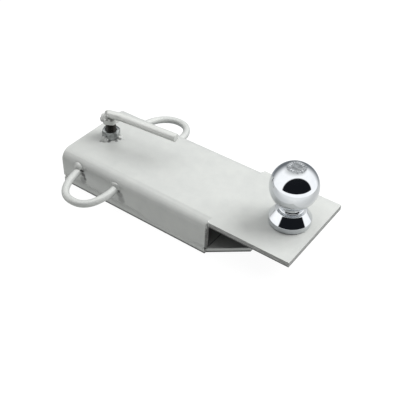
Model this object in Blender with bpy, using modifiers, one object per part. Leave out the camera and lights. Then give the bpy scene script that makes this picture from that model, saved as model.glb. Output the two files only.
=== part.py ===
# Clamp-on tow hitch for a fork tine: a folded steel sleeve with a tongue, a 50 mm tow ball,
# two chain loops and a T-screw clamp. Metres, +Z up. The origin is on the ground under the
# middle of the hitch, +X points from the clamp to the ball, and +Y is the far side.
import math

import bmesh
import bpy
from mathutils import Matrix, Vector

# ---- driving dimensions ----
PLATE = 0.006                  # thickness of every steel plate
SLEEVE_LENGTH = 0.200          # side walls, rear to front
SLEEVE_WIDTH = 0.112           # outside of the walls
SLEEVE_HEIGHT = 0.043          # ground to the top face
BEND_RADIUS = 0.012            # outside radius of the two folds
TONGUE_REACH = 0.096           # tongue ahead of the walls
TONGUE_INSET = 0.0025          # tongue's sides inside the walls' outer faces
RELIEF_RADIUS = 0.0016         # round bend relief in the corner of wall and tongue
HOLE_CLEARANCE = 0.0005        # radial, round the screw and round the ball shank

NOSE_REACH = 0.037             # base plate ahead of the walls
NOSE_WIDTH = 0.048             # its blunt front edge

BALL_RADIUS = 0.025
BALL_SETBACK = 0.031           # ball axis behind the tongue's front edge
BALL_FLAT_RADIUS = 0.0098      # flat on top of the ball
NECK_RADIUS = 0.0118
NECK_LENGTH = 0.0060           # between the flange's shoulder and the ball
FLANGE_HEIGHT = 0.0170         # tongue to the flange's shoulder
SHOULDER_RADIUS = 0.0162       # outer edge of the shoulder, where the cone starts
SHOULDER_DROP = 0.0005         # the shoulder falls this much to its edge
SHOULDER_EDGE = 0.0009         # chamfer between shoulder and cone
FLANGE_RADIUS = 0.0222
FLANGE_RIM = 0.0065            # upright rim of the flange
FLANGE_EDGE = 0.0008           # chamfer under the rim
SHANK_RADIUS = 0.011
SHANK_CHAMFER = 0.001
SHANK_OUT = 0.0025             # shank end below its nut
LOCK_WASHER_RADIUS = 0.018
LOCK_WASHER_THICKNESS = 0.0035
LOCK_WASHER_SPLIT = 0.003
BALL_NUT_ACROSS = 0.032
BALL_NUT_HEIGHT = 0.018
BALL_NUT_TURN = math.radians(12)

LOOP_ROD_RADIUS = 0.0043
NEAR_LOOP_REACH = 0.0403       # wall to the middle of the rod at the loop's outer end
FAR_LOOP_REACH = 0.0383
LOOP_SPREAD = 0.053            # centre to centre of the two legs
LOOP_SETBACK = 0.0263          # rear leg ahead of the sleeve's rear end
LOOP_DROP = 0.015              # legs below the top face
LOOP_DROOP = math.radians(7)
NEAR_LOOP_SQUARENESS = 2.35    # 2 is an ellipse, more is squarer
FAR_LOOP_SQUARENESS = 2.15
LOOP_WELD_WIDTH = 0.0035       # collar of weld outside the rod
LOOP_WELD_HEIGHT = 0.0036

CLAMP_SETBACK = 0.0255         # screw axis ahead of the sleeve's rear end
SCREW_RADIUS = 0.006
SCREW_LENGTH = 0.040           # under the head
SCREW_HEAD_ACROSS = 0.018
SCREW_HEAD_HEIGHT = 0.0075
SCREW_HEAD_LIFT = 0.011        # clear thread between nut and head
DOG_RADIUS = 0.00425
DOG_LENGTH = 0.005
DOG_CHAMFER = 0.00085
CLAMP_NUT_ACROSS = 0.0185
CLAMP_NUT_HEIGHT = 0.010
CLAMP_NUT_TURN = math.radians(-40)   # direction that one flat of the nut faces
TACK_COUNT = 3
TACK_START = math.radians(-105)
TACK_OFFSET = 0.002            # middle of a tack outside the nut's flats
TACK_RADIUS = 0.006
TACK_HEIGHT = 0.0048

HANDLE_RADIUS = 0.00485
HANDLE_LENGTH = 0.0745         # straight part of the bar
HANDLE_TURN = math.radians(4.7)
HANDLE_CRANK = 0.0155          # welded end of the bar, behind the straight part
HANDLE_SET = 0.0025            # sideways set of the welded end
HANDLE_OFFSET = 0.0022         # straight part starts this far off the screw's axis
HANDLE_START = 0.016           # and this far ahead of it
END_WELD_RADIUS = 0.0046       # weld behind the end of the bar
END_WELD_HEIGHT = 0.0040
END_WELD_BACK = 0.0034         # its middle behind the end
SIDE_WELD_RADIUS = 0.0034      # weld along the far side of the bar
SIDE_WELD_HEIGHT = 0.0040
SIDE_WELD_AHEAD = 0.003        # its middle ahead of the end
SIDE_WELD_ASIDE = 0.0016       # and outside the bar

WELD_BEVEL = 0.003             # bevelled foot of the walls, filled by the seam weld
WELD_PROUD = 0.0006
SEAM_INSET = 0.0015            # seam weld stops short of the sleeve's ends
GAP = 0.0003                   # between pieces that touch

HEX_CHAMFER = math.radians(30)      # of the turned-off corners of nuts and heads
HEX_FACE_SHARE = 0.475              # radius of their flat face, as a share of the width across flats
BLOB_ANGLES = (0, 22, 44, 66, 90)   # degrees from the crown of a weld blob to its foot

ROUND_STEPS = 40
SMALL_STEPS = 20
RELIEF_STEPS = 16
FOLD_STEPS = 8
LOOP_STEPS = 30
BALL_STEPS = 18
SEAM_STEPS = 6
ROD_BEVEL_RESOLUTION = 4
SMOOTH_BELOW = math.radians(35)     # edges flatter than this are shaded smooth

# ---- sizes and places worked out from them ----
LENGTH = SLEEVE_LENGTH + TONGUE_REACH
REAR_X = -LENGTH / 2
WALL_FRONT_X = REAR_X + SLEEVE_LENGTH
TONGUE_FRONT_X = REAR_X + LENGTH
HALF_WIDTH = SLEEVE_WIDTH / 2
HALF_TONGUE = HALF_WIDTH - TONGUE_INSET
ROOF_Z = SLEEVE_HEIGHT - PLATE
BALL_X = TONGUE_FRONT_X - BALL_SETBACK
NECK_FOOT_Z = SLEEVE_HEIGHT + FLANGE_HEIGHT
BALL_Z = NECK_FOOT_Z + NECK_LENGTH + math.sqrt(BALL_RADIUS ** 2 - NECK_RADIUS ** 2)
LOOP_Z = SLEEVE_HEIGHT - LOOP_DROP
LOOP_X = (REAR_X + LOOP_SETBACK, REAR_X + LOOP_SETBACK + LOOP_SPREAD)
CLAMP_X = REAR_X + CLAMP_SETBACK
NUT_BASE_Z = SLEEVE_HEIGHT + GAP
NUT_TOP_Z = NUT_BASE_Z + CLAMP_NUT_HEIGHT
HEAD_Z = NUT_TOP_Z + SCREW_HEAD_LIFT
HEAD_TOP_Z = HEAD_Z + SCREW_HEAD_HEIGHT
SCREW_END_Z = HEAD_Z - SCREW_LENGTH
HANDLE_Z = HEAD_TOP_Z + GAP + HANDLE_RADIUS


# ---- scene housekeeping ----
def clear_scene():
    for old in list(bpy.data.objects):
        bpy.data.objects.remove(old)


def new_collection(name):
    collection = bpy.data.collections.new(name)
    bpy.context.scene.collection.children.link(collection)
    return collection


def new_material(name, colour, roughness, metallic):
    material = bpy.data.materials.new(name)
    material.use_nodes = True
    shader = material.node_tree.nodes["Principled BSDF"]
    shader.inputs["Base Color"].default_value = (*colour, 1.0)
    shader.inputs["Roughness"].default_value = roughness
    shader.inputs["Metallic"].default_value = metallic
    return material


def move_to(obj, collection):
    for old in list(obj.users_collection):
        old.objects.unlink(obj)
    collection.objects.link(obj)
    return obj


def as_part(obj, name, finish):
    """Names a finished piece, gives it its own material and files it under the object."""
    obj.name = name
    obj.data.name = name
    obj.data.materials.clear()
    obj.data.materials.append(new_material(name, *finish))
    if obj.type == "MESH":
        obj.data.shade_smooth()
        obj.data.set_sharp_from_angle(angle=SMOOTH_BELOW)
    return move_to(obj, parts)


def as_cutter(obj, name):
    obj.name = name
    obj.hide_render = True
    obj.display_type = "WIRE"
    return move_to(obj, cutters)


# ---- shape helpers ----
def place(obj, x=0.0, y=0.0, z=0.0):
    obj.location = (x, y, z)
    return obj


def box(low, high):
    """A box between two corners, with its size in its mesh."""
    low, high = Vector(low), Vector(high)
    bpy.ops.mesh.primitive_cube_add(size=1)
    obj = bpy.context.object
    obj.data.transform(Matrix.Diagonal((*(high - low), 1.0)))
    obj.location = (low + high) / 2
    return obj


def rod(radius, depth, steps=ROUND_STEPS):
    """An upright cylinder whose foot is at its own origin."""
    bpy.ops.mesh.primitive_cylinder_add(vertices=steps, radius=radius, depth=depth)
    obj = bpy.context.object
    obj.data.transform(Matrix.Translation((0, 0, depth / 2)))
    return obj


def turned(profile, closed=False, steps=ROUND_STEPS):
    """A profile of (radius, height) points, top to bottom down its outer side, turned round Z."""
    mesh = bpy.data.meshes.new("profile")
    count = len(profile)
    edges = [(i, i + 1) for i in range(count - 1)]
    if closed:
        edges.append((count - 1, 0))
    mesh.from_pydata([(r, 0, z) for r, z in profile], edges, [])
    obj = bpy.data.objects.new("turned", mesh)
    bpy.context.scene.collection.objects.link(obj)
    screw = obj.modifiers.new("turn", "SCREW")
    screw.steps = steps
    screw.render_steps = steps
    screw.use_merge_vertices = True
    screw.merge_threshold = 0.00005
    return obj


def curve_to_mesh(obj):
    """The curve as a mesh object with its caps welded on."""
    bpy.context.view_layer.update()
    graph = bpy.context.evaluated_depsgraph_get()
    mesh = bpy.data.meshes.new_from_object(obj.evaluated_get(graph))
    work = bmesh.new()
    work.from_mesh(mesh)
    bmesh.ops.remove_doubles(work, verts=work.verts, dist=0.00001)
    work.to_mesh(mesh)
    work.free()
    result = bpy.data.objects.new("shape", mesh)
    result.matrix_world = obj.matrix_world
    bpy.context.scene.collection.objects.link(result)
    bpy.data.objects.remove(obj)
    return result


def plate_from_outline(points, thickness):
    """A flat outline in its own XY plane, extruded evenly to both sides of that plane."""
    curve = bpy.data.curves.new("outline", "CURVE")
    curve.dimensions = "2D"
    curve.fill_mode = "BOTH"
    curve.extrude = thickness / 2
    line = curve.splines.new("POLY")
    line.points.add(len(points) - 1)
    for point, (x, y) in zip(line.points, points):
        point.co = (x, y, 0, 1)
    line.use_cyclic_u = True
    obj = bpy.data.objects.new("outline", curve)
    bpy.context.scene.collection.objects.link(obj)
    return curve_to_mesh(obj)


def along_x(points, start, end):
    """A (y, z) outline carried along X from start to end."""
    obj = plate_from_outline(points, end - start)
    stand = Matrix(((0, 0, 1, 0), (1, 0, 0, 0), (0, 1, 0, 0), (0, 0, 0, 1)))
    obj.data.transform(Matrix.Translation(((start + end) / 2, 0, 0)) @ stand)
    return obj


def bent_rod(points, radius):
    """A round bar along a line of points."""
    curve = bpy.data.curves.new("rod", "CURVE")
    curve.dimensions = "3D"
    curve.bevel_depth = radius
    curve.bevel_resolution = ROD_BEVEL_RESOLUTION
    curve.use_fill_caps = True
    line = curve.splines.new("POLY")
    line.points.add(len(points) - 1)
    for point, co in zip(line.points, points):
        point.co = (*co, 1)
    obj = bpy.data.objects.new("rod", curve)
    bpy.context.scene.collection.objects.link(obj)
    return obj


def arc(centre, radius, start, end, steps):
    """Points of an arc, both ends included, angles in degrees."""
    angles = [math.radians(start + (end - start) * i / steps) for i in range(steps + 1)]
    return [(centre[0] + radius * math.cos(a), centre[1] + radius * math.sin(a)) for a in angles]


def hex_bar(across, height, turn=0.0):
    """A hexagonal bar with its foot at its origin and one flat facing the angle turn."""
    bpy.ops.mesh.primitive_cylinder_add(vertices=6, radius=across / math.sqrt(3), depth=height)
    obj = bpy.context.object
    corner = obj.data.vertices[0].co
    corner_angle = math.atan2(corner.y, corner.x)
    spin = Matrix.Rotation(turn + math.pi / 6 - corner_angle, 4, "Z")
    obj.data.transform(spin @ Matrix.Translation((0, 0, height / 2)))
    return obj


def combine(obj, other, operation, name):
    """A Boolean that keeps the other object as a hidden cutter."""
    as_cutter(other, name)
    step = obj.modifiers.new(name, "BOOLEAN")
    step.operation = operation
    step.solver = "EXACT"
    step.object = other
    return obj


def chamfered_hex(name, across, height, turn, bottom=True):
    """A hexagonal bar whose corners are turned off at its top, and at its foot too if asked."""
    inner = across * HEX_FACE_SHARE
    outer = across / math.sqrt(3) + GAP
    slope = (outer - inner) * math.tan(HEX_CHAMFER)
    profile = [(0, height), (inner, height), (outer, height - slope)]
    profile += [(outer, slope), (inner, 0)] if bottom else [(outer, 0)]
    profile += [(0, 0)]
    bar = hex_bar(across, height, turn)
    return combine(bar, turned(profile), "INTERSECT", name + "_turned_corners")


def blob(radius, height):
    """A low round cap of weld with a flat foot."""
    angles = [math.radians(a) for a in BLOB_ANGLES]
    dome = [(radius * math.sin(a), height * math.cos(a)) for a in angles]
    return turned(dome + [(0, 0)], steps=SMALL_STEPS)


# ---- the welded body ----
def folded_sleeve():
    """Roof, two walls and the tongue, folded from one plate, with its holes."""
    foot_z = PLATE + GAP
    fold = HALF_WIDTH - BEND_RADIUS
    fold_z = SLEEVE_HEIGHT - BEND_RADIUS
    inner_bend = BEND_RADIUS - PLATE
    foot = [
        (HALF_WIDTH - PLATE, foot_z),
        (HALF_WIDTH - WELD_BEVEL, foot_z),
        (HALF_WIDTH, foot_z + WELD_BEVEL),
    ]
    outside = foot + arc((fold, fold_z), BEND_RADIUS, 0, 90, FOLD_STEPS)
    outside += arc((-fold, fold_z), BEND_RADIUS, 90, 180, FOLD_STEPS)
    outside += [(-y, z) for y, z in reversed(foot)]
    inside = arc((-fold, fold_z), inner_bend, 180, 90, FOLD_STEPS)
    inside += arc((fold, fold_z), inner_bend, 90, 0, FOLD_STEPS)
    sleeve = along_x(outside + inside, REAR_X, WALL_FRONT_X)

    root = box((WALL_FRONT_X - PLATE, -fold, ROOF_Z), (TONGUE_FRONT_X, fold, SLEEVE_HEIGHT))
    tongue = box(
        (WALL_FRONT_X, -HALF_TONGUE, ROOF_Z), (TONGUE_FRONT_X, HALF_TONGUE, SLEEVE_HEIGHT)
    )
    combine(sleeve, root, "UNION", "tongue_root")
    combine(sleeve, tongue, "UNION", "tongue_plate")

    cut_z = ROOF_Z - PLATE
    for side in (-1, 1):
        relief = rod(RELIEF_RADIUS, 3 * PLATE, RELIEF_STEPS)
        place(relief, WALL_FRONT_X, side * HALF_TONGUE, cut_z)
        combine(sleeve, relief, "DIFFERENCE", "bend_relief_" + side_name(side))
    screw_hole = place(rod(SCREW_RADIUS + HOLE_CLEARANCE, 3 * PLATE), CLAMP_X, 0, cut_z)
    combine(sleeve, screw_hole, "DIFFERENCE", "screw_hole")
    shank_hole = place(rod(SHANK_RADIUS + HOLE_CLEARANCE, 3 * PLATE), BALL_X, 0, cut_z)
    combine(sleeve, shank_hole, "DIFFERENCE", "shank_hole")
    as_part(sleeve, "sleeve_and_tongue", SILVER_PAINT)


def side_name(side):
    return "near" if side < 0 else "far"


def base_plate():
    """Flat floor of the sleeve, with a blunt trapezoidal nose as wide at its root as the tongue."""
    nose_x = WALL_FRONT_X + NOSE_REACH
    right = [
        (REAR_X, -HALF_WIDTH),
        (WALL_FRONT_X, -HALF_WIDTH),
        (WALL_FRONT_X, -HALF_TONGUE),
        (nose_x, -NOSE_WIDTH / 2),
    ]
    outline = right + [(x, -y) for x, y in reversed(right)]
    plate = place(plate_from_outline(outline, PLATE), z=PLATE / 2)
    as_part(plate, "base_plate", SILVER_PAINT)


def seam_weld(side):
    """Bead that fills the bevelled foot of a wall and stands a little proud of it."""
    gap_along = GAP * math.sqrt(2)
    foot_z = PLATE + GAP
    half = (WELD_BEVEL - gap_along) / 2
    face = [
        (HALF_WIDTH + WELD_PROUD * out, foot_z + half + half * up)
        for out, up in arc((0, 0), 1, -90, 90, SEAM_STEPS)
    ]
    outline = [(HALF_WIDTH - WELD_BEVEL + gap_along, foot_z)] + face
    if side < 0:
        outline = [(-y, z) for y, z in reversed(outline)]
    bead = along_x(outline, REAR_X + SEAM_INSET, WALL_FRONT_X - SEAM_INSET)
    as_part(bead, "seam_weld_" + side_name(side), SILVER_PAINT)


# ---- chain loops ----
def loop_path(side):
    """Half of a squared ellipse that leaves the wall straight and droops a little."""
    reach = NEAR_LOOP_REACH if side < 0 else FAR_LOOP_REACH
    power = 2 / (NEAR_LOOP_SQUARENESS if side < 0 else FAR_LOOP_SQUARENESS)
    wall_gap = GAP + LOOP_ROD_RADIUS * math.sin(LOOP_DROOP)
    points = []
    for i in range(LOOP_STEPS + 1):
        angle = math.pi * i / LOOP_STEPS
        across = math.copysign(abs(math.cos(angle)) ** power, -math.cos(angle))
        out = reach * math.sin(angle) ** power if 0 < i < LOOP_STEPS else wall_gap
        x = sum(LOOP_X) / 2 + across * LOOP_SPREAD / 2
        y = side * (HALF_WIDTH + out * math.cos(LOOP_DROOP))
        points.append((x, y, LOOP_Z - out * math.sin(LOOP_DROOP)))
    return points


def chain_loop(side):
    loop = curve_to_mesh(bent_rod(loop_path(side), LOOP_ROD_RADIUS))
    as_part(loop, "chain_loop_" + side_name(side), SILVER_PAINT)


def loop_weld(side, which, leg_x):
    """Collar of weld round one leg of a loop, against the wall."""
    inner = LOOP_ROD_RADIUS + LOOP_WELD_HEIGHT * math.sin(LOOP_DROOP) + GAP
    outer = LOOP_ROD_RADIUS + LOOP_WELD_WIDTH
    swell = [
        (inner, LOOP_WELD_HEIGHT),
        (inner + 0.3 * (outer - inner), LOOP_WELD_HEIGHT * 0.92),
        (inner + 0.7 * (outer - inner), LOOP_WELD_HEIGHT * 0.55),
        (outer, LOOP_WELD_HEIGHT * 0.1),
        (outer, 0),
        (inner, 0),
    ]
    collar = turned(swell, closed=True, steps=SMALL_STEPS)
    collar.rotation_euler = (-side * math.pi / 2, 0, 0)
    place(collar, leg_x, side * (HALF_WIDTH + GAP), LOOP_Z)
    as_part(collar, "loop_weld_" + side_name(side) + "_" + which, SILVER_PAINT)


# ---- screw clamp ----
def clamp_nut():
    nut = chamfered_hex("clamp_nut", CLAMP_NUT_ACROSS, CLAMP_NUT_HEIGHT, CLAMP_NUT_TURN, bottom=False)
    place(nut, CLAMP_X, 0, NUT_BASE_Z)
    shift_cutters(nut, CLAMP_X, 0, NUT_BASE_Z)
    bore = rod(SCREW_RADIUS + HOLE_CLEARANCE, 3 * CLAMP_NUT_HEIGHT)
    combine(nut, place(bore, CLAMP_X, 0, NUT_BASE_Z - CLAMP_NUT_HEIGHT), "DIFFERENCE", "clamp_nut_bore")
    as_part(nut, "clamp_nut", ZINC)


def shift_cutters(obj, x, y, z):
    """Puts the cutters that an object already has at the object's own place."""
    for step in obj.modifiers:
        step.object.location = (x, y, z)


def nut_tack(index):
    """One blob of weld against the foot of the clamp nut."""
    angle = TACK_START + 2 * math.pi * index / TACK_COUNT
    reach = CLAMP_NUT_ACROSS / 2 + TACK_OFFSET
    tack = blob(TACK_RADIUS, TACK_HEIGHT)
    place(tack, CLAMP_X + reach * math.cos(angle), reach * math.sin(angle), NUT_BASE_Z)
    room = hex_bar(CLAMP_NUT_ACROSS + 2 * GAP, 3 * CLAMP_NUT_HEIGHT, CLAMP_NUT_TURN)
    place(room, CLAMP_X, 0, NUT_BASE_Z - CLAMP_NUT_HEIGHT)
    combine(tack, room, "DIFFERENCE", f"nut_room_{index + 1}")
    as_part(tack, f"nut_tack_weld_{index + 1}", SILVER_PAINT)


def clamp_screw(turn_axis):
    """Hexagon bolt head and shank; the dog point at its end is a piece of its own."""
    head = chamfered_hex("screw_head", SCREW_HEAD_ACROSS, SCREW_HEAD_HEIGHT, 0.0, bottom=False)
    place(head, CLAMP_X, 0, HEAD_Z)
    shift_cutters(head, CLAMP_X, 0, HEAD_Z)
    shank_z = SCREW_END_Z + DOG_LENGTH + GAP
    shank = place(rod(SCREW_RADIUS, HEAD_Z - shank_z + SCREW_HEAD_HEIGHT / 2), CLAMP_X, 0, shank_z)
    combine(head, shank, "UNION", "screw_shank")
    as_part(head, "clamp_screw", BLACK_OXIDE)
    keep_place_under(head, turn_axis)


def screw_tip(travel_axis):
    """Dog point that presses on the fork tine."""
    profile = [
        (0, DOG_LENGTH),
        (DOG_RADIUS, DOG_LENGTH),
        (DOG_RADIUS, DOG_CHAMFER),
        (DOG_RADIUS - DOG_CHAMFER, 0),
        (0, 0),
    ]
    tip = place(turned(profile, steps=SMALL_STEPS), CLAMP_X, 0, SCREW_END_Z)
    as_part(tip, "screw_tip", BLACK_OXIDE)
    keep_place_under(tip, travel_axis)


def handle_frame():
    """Directions along and across the straight part of the bar, and the point where it starts."""
    along = Vector((math.cos(HANDLE_TURN), math.sin(HANDLE_TURN), 0))
    aside = Vector((-along.y, along.x, 0))
    root = Vector((CLAMP_X, 0, HANDLE_Z)) + along * HANDLE_START - aside * HANDLE_OFFSET
    return along, aside, root


def handle_points(past_end=0.0):
    """The bar's middle line: a slightly set end on the screw head, then a straight run."""
    along, aside, root = handle_frame()
    tail = root - along * HANDLE_CRANK - aside * HANDLE_SET
    knee = root - along * HANDLE_CRANK * 0.3 - aside * HANDLE_SET * 0.5
    tail += (tail - knee).normalized() * past_end
    return [tail, knee, root, root + along * HANDLE_LENGTH]


def handle_bar(turn_axis):
    bar = curve_to_mesh(bent_rod(handle_points(), HANDLE_RADIUS))
    as_part(bar, "handle_bar", SILVER_PAINT)
    keep_place_under(bar, turn_axis)


def handle_weld(name, ahead, out, radius, height, turn_axis):
    """A blob of weld on the screw head, placed from the end of the bar and kept clear of it."""
    along, aside, _ = handle_frame()
    spot = handle_points()[0] + along * ahead + aside * out
    weld = place(blob(radius, height), spot.x, spot.y, HEAD_TOP_Z + GAP)
    room = curve_to_mesh(bent_rod(handle_points(past_end=GAP), HANDLE_RADIUS + GAP))
    combine(weld, room, "DIFFERENCE", name + "_bar_room")
    as_part(weld, name, SILVER_PAINT)
    keep_place_under(weld, turn_axis)


def keep_place_under(obj, axis):
    """Parents a piece to its joint's axis empty without moving it."""
    bpy.context.view_layer.update()
    obj.parent = axis
    obj.matrix_parent_inverse = axis.matrix_world.inverted()


def joint_axis(name, x, y, z):
    empty = bpy.data.objects.new(name, None)
    empty.location = (x, y, z)
    parts.objects.link(empty)
    bpy.context.view_layer.update()
    return empty


# ---- tow ball ----
def ball_profile():
    """Flat top, ball, neck, shoulder, coned flange with an upright rim, and the shank."""
    seat = SLEEVE_HEIGHT + GAP
    start = math.degrees(math.acos(BALL_FLAT_RADIUS / BALL_RADIUS))
    end = -math.degrees(math.acos(NECK_RADIUS / BALL_RADIUS))
    rim_z = SLEEVE_HEIGHT + FLANGE_RIM
    shank_end = ROOF_Z - 3 * GAP - LOCK_WASHER_THICKNESS - BALL_NUT_HEIGHT - SHANK_OUT
    profile = [(0, BALL_Z + BALL_RADIUS * math.sin(math.radians(start)))]
    profile += arc((0, BALL_Z), BALL_RADIUS, start, end, BALL_STEPS)
    shoulder_z = NECK_FOOT_Z - SHOULDER_DROP
    profile += [(NECK_RADIUS, NECK_FOOT_Z + SHOULDER_EDGE), (NECK_RADIUS + SHOULDER_EDGE, NECK_FOOT_Z)]
    profile += [(SHOULDER_RADIUS - SHOULDER_EDGE, shoulder_z)]
    profile += [(SHOULDER_RADIUS, shoulder_z - SHOULDER_EDGE), (FLANGE_RADIUS, rim_z)]
    profile += [(FLANGE_RADIUS, seat + FLANGE_EDGE), (FLANGE_RADIUS - FLANGE_EDGE, seat)]
    profile += [(SHANK_RADIUS, seat), (SHANK_RADIUS, shank_end + SHANK_CHAMFER)]
    profile += [(SHANK_RADIUS - SHANK_CHAMFER, shank_end), (0, shank_end)]
    return profile


def tow_ball():
    as_part(place(turned(ball_profile()), BALL_X), "tow_ball", CHROME)


def lock_washer():
    """Split spring washer under the tongue."""
    inner = SHANK_RADIUS + HOLE_CLEARANCE
    low = -LOCK_WASHER_THICKNESS
    ring = turned(
        [(inner, 0), (LOCK_WASHER_RADIUS, 0), (LOCK_WASHER_RADIUS, low), (inner, low)], closed=True
    )
    place(ring, BALL_X, 0, ROOF_Z - GAP)
    half = LOCK_WASHER_SPLIT / 2
    slot = box(
        (BALL_X - half, 0, ROOF_Z - 2 * LOCK_WASHER_THICKNESS),
        (BALL_X + half, 2 * LOCK_WASHER_RADIUS, ROOF_Z + PLATE),
    )
    combine(ring, slot, "DIFFERENCE", "washer_split")
    as_part(ring, "lock_washer", ZINC)


def ball_nut():
    foot_z = ROOF_Z - 2 * GAP - LOCK_WASHER_THICKNESS - BALL_NUT_HEIGHT
    nut = chamfered_hex("ball_nut", BALL_NUT_ACROSS, BALL_NUT_HEIGHT, BALL_NUT_TURN)
    place(nut, BALL_X, 0, foot_z)
    shift_cutters(nut, BALL_X, 0, foot_z)
    bore = rod(SHANK_RADIUS + HOLE_CLEARANCE, 3 * BALL_NUT_HEIGHT)
    combine(nut, place(bore, BALL_X, 0, foot_z - BALL_NUT_HEIGHT), "DIFFERENCE", "ball_nut_bore")
    as_part(nut, "ball_nut", ZINC)


# ---- finishes: colour, roughness, metallic ----
SILVER_PAINT = ((0.70, 0.71, 0.70), 0.42, 0.35)
ZINC = ((0.62, 0.63, 0.63), 0.30, 1.0)
CHROME = ((0.80, 0.81, 0.82), 0.06, 1.0)
BLACK_OXIDE = ((0.03, 0.03, 0.032), 0.45, 0.6)

clear_scene()
parts = new_collection("trailer_hitch_with_ball")
cutters = new_collection("cutters")

folded_sleeve()
base_plate()
for hand in (-1, 1):
    seam_weld(hand)
    chain_loop(hand)
    for leg, leg_x in zip(("rear", "front"), LOOP_X):
        loop_weld(hand, leg, leg_x)

travel = joint_axis("screw_travel_axis", CLAMP_X, 0, SCREW_END_Z)
turn = joint_axis("screw_turn_axis", CLAMP_X, 0, HEAD_Z)
clamp_nut()
for tack in range(TACK_COUNT):
    nut_tack(tack)
clamp_screw(turn)
screw_tip(travel)
handle_bar(turn)
handle_weld("handle_weld_end", -END_WELD_BACK, 0, END_WELD_RADIUS, END_WELD_HEIGHT, turn)
handle_weld(
    "handle_weld_side", SIDE_WELD_AHEAD, HANDLE_RADIUS + SIDE_WELD_ASIDE,
    SIDE_WELD_RADIUS, SIDE_WELD_HEIGHT, turn,
)

tow_ball()
lock_washer()
ball_nut()
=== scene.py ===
import math

import bmesh
import bpy
import numpy as np
from mathutils import Matrix, Quaternion, Vector


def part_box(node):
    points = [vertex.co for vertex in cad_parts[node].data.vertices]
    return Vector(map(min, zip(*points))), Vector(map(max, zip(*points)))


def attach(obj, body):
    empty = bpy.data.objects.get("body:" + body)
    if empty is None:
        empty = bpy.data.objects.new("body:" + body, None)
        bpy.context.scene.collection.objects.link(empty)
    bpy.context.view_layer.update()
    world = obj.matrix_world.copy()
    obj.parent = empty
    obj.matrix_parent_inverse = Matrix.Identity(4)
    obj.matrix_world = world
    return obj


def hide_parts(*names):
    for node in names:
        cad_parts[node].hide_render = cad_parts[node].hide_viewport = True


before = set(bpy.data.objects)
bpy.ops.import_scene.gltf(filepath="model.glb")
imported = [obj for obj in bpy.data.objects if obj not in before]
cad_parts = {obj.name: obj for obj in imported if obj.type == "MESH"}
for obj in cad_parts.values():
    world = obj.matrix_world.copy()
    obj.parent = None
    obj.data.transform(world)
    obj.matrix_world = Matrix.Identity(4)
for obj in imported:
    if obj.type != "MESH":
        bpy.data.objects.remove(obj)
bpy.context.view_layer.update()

print("frame loaded,", len(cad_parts), "nodes")

body = "hitch_body"
lift = "screw_lift"
handleBody = "screw_and_handle"


# what the frame says about places
seamLow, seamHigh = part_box("seam_weld_far")
nutLow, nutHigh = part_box("clamp_nut")
screwLow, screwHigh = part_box("clamp_screw")
tipLow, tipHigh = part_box("screw_tip")
barLow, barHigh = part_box("handle_bar")
ballLow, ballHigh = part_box("tow_ball")
washerLow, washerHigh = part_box("lock_washer")
ballNutLow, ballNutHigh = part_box("ball_nut")
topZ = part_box("sleeve_and_tongue")[1].z
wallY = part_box("base_plate")[1].y
clampX = (tipLow.x + tipHigh.x) / 2
ballX = (ballLow.x + ballHigh.x) / 2


def gridFaces(rows, columns, wrapRows=False, wrapColumns=False):
    # quads of a rows x columns grid of points, wrapped round where asked
    r = np.arange(rows if wrapRows else rows - 1)
    c = np.arange(columns if wrapColumns else columns - 1)
    r, c = np.meshgrid(r, c, indexing="ij")
    r2, c2 = (r + 1) % rows, (c + 1) % columns
    quads = np.stack([r * columns + c, r * columns + c2, r2 * columns + c2, r2 * columns + c], -1)
    return quads.reshape(-1, 4)


def newPiece(name, points, faces, mergeWithin=2e-6, sharpAngle=50):
    # mesh object from point and face arrays; poles and seams are merged and the normals turned outwards
    mesh = bpy.data.meshes.new(name)
    mesh.from_pydata(np.asarray(points, float).reshape(-1, 3), [], np.asarray(faces).tolist())
    work = bmesh.new()
    work.from_mesh(mesh)
    bmesh.ops.remove_doubles(work, verts=work.verts, dist=mergeWithin)
    bmesh.ops.dissolve_degenerate(work, edges=work.edges, dist=1e-7)
    bmesh.ops.recalc_face_normals(work, faces=work.faces)
    work.to_mesh(mesh)
    work.free()
    mesh.shade_smooth()
    mesh.set_sharp_from_angle(angle=math.radians(sharpAngle))
    piece = bpy.data.objects.new(name, mesh)
    bpy.context.scene.collection.objects.link(piece)
    return piece


def finishPiece(piece, material, rides, slot, *nodes):
    piece.data.materials.clear()
    piece.data.materials.append(material)
    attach(piece, rides)
    if nodes:
        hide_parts(*nodes)
    return piece


def lathe(profile, centre, steps=128):
    # every (radius, height) of the profile goes round the upright axis through centre
    profile = np.asarray(profile, float)
    angle = np.linspace(0, 2 * np.pi, steps, endpoint=False)
    points = aroundAxis(profile[:, :1], profile[:, 1:], angle, centre)
    return points, gridFaces(len(profile), steps, wrapColumns=True)


def arcPoints(centre, radius, start, end, count):
    # points of an arc in a plane, angles in degrees, both ends included
    angle = np.radians(np.linspace(start, end, count))
    return np.stack([centre[0] + radius * np.cos(angle), centre[1] + radius * np.sin(angle)], -1)


def pathFrames(path):
    # tangent of each point of a path and two directions square to it that turn as little as they can
    path = np.asarray(path, float)
    tangent = np.gradient(path, axis=0)
    tangent /= np.linalg.norm(tangent, axis=1, keepdims=True)
    side = np.zeros_like(path)
    start = np.cross(tangent[0], (0.0, 0.0, 1.0))
    side[0] = start / np.linalg.norm(start)
    for i in range(1, len(path)):
        step = side[i - 1] - tangent[i] * side[i - 1].dot(tangent[i])
        side[i] = step / np.linalg.norm(step)
    return tangent, side, np.cross(tangent, side)


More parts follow.
